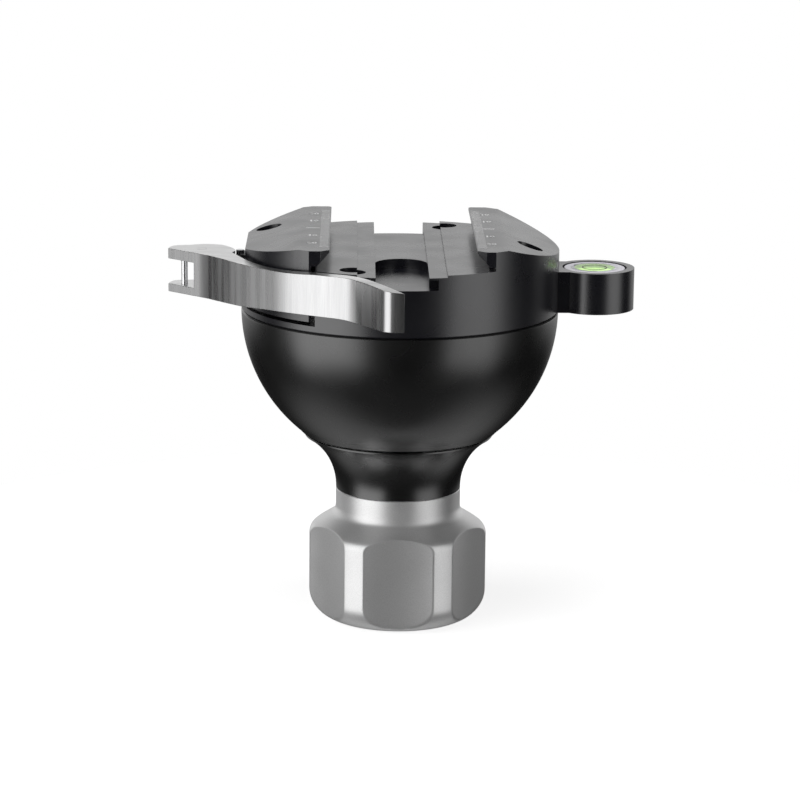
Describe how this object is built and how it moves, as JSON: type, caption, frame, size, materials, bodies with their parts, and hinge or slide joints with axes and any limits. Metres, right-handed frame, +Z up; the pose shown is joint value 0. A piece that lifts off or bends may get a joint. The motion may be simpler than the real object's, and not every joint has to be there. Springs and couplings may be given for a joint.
{
  "type": "leveling base",
  "caption": "Half-ball leveling base for a video bowl, with a lever-operated dovetail clamp, a bubble level and a fluted tie-down knob.",
  "frame": {"origin": "centre of the ball, in the plane of the seam between the half ball and the clamp", "axes": "+Z up along the tie stud, +X from the lever's side towards the bubble level, +Y to the back, along the dovetail slot"},
  "size_m": [0.1099, 0.0878, 0.0941],
  "materials": {
    "black_satin": "satin",
    "grey_anodised": "satin",
    "silver_anodised": "bead blasted",
    "brushed_steel": "brushed",
    "steel": "smooth",
    "dark_steel": "satin",
    "bronze": "satin",
    "liner": "matte",
    "white_plastic": "satin",
    "green_fluid": "clear tinted fluid",
    "bubble": "air bubble",
    "clear_lens": "clear"
  },
  "bodies": {
    "base": {"half_ball": "black_satin", "tie_stud": "steel", "stop_washer": "steel", "stop_screw": "steel", "clamp_body": "grey_anodised", "clamp_screws": "dark_steel", "guide_pins": "dark_steel", "draw_bar": "steel", "draw_bar_anchor": "steel", "vial_cup": "white_plastic", "vial_fluid": "green_fluid", "vial_bubble": "bubble", "vial_lens": "clear_lens"},
    "jaw": {"movable_jaw": "grey_anodised", "thrust_pad": "dark_steel", "follower_pins": "steel", "jaw_springs": "steel"},
    "lever": {"lever": "brushed_steel", "lever_pivot_pin": "brushed_steel", "lever_stop_pin": "brushed_steel"},
    "cup": {"clamp_cup": "black_satin", "cup_liner": "liner"},
    "knob": {"knob": "silver_anodised", "knob_nut": "steel", "knob_cap": "silver_anodised", "thrust_washer": "bronze"}
  },
  "joints": [
    {"name": "lever_swing", "type": "hinge", "parent": "base", "child": "lever", "pos_m": [-0.0466, -0.0042, 0.009], "axis": [0, 0, -1], "range_deg": [0, 110]},
    {"name": "jaw_slide", "type": "slide", "parent": "base", "child": "jaw", "axis": [-1, 0, 0], "range_m": [0, 0.002], "deforming": ["jaw_springs"]},
    {"name": "cup_slide", "type": "slide", "parent": "base", "child": "cup", "axis": [0, 0, -1], "range_m": [0, 0.01]},
    {"name": "knob_turn", "type": "hinge", "parent": "cup", "child": "knob", "pos_m": [0, 0, -0.0438], "axis": [0, 0, -1], "range_deg": [0, 2058]}
  ],
  "couplings": [
    {"joint": "jaw_slide", "follows": "lever_swing", "m_per_rad": 0.0010417},
    {"joint": "knob_turn", "follows": "cup_slide", "rad_per_m": 3590.4}
  ]
}
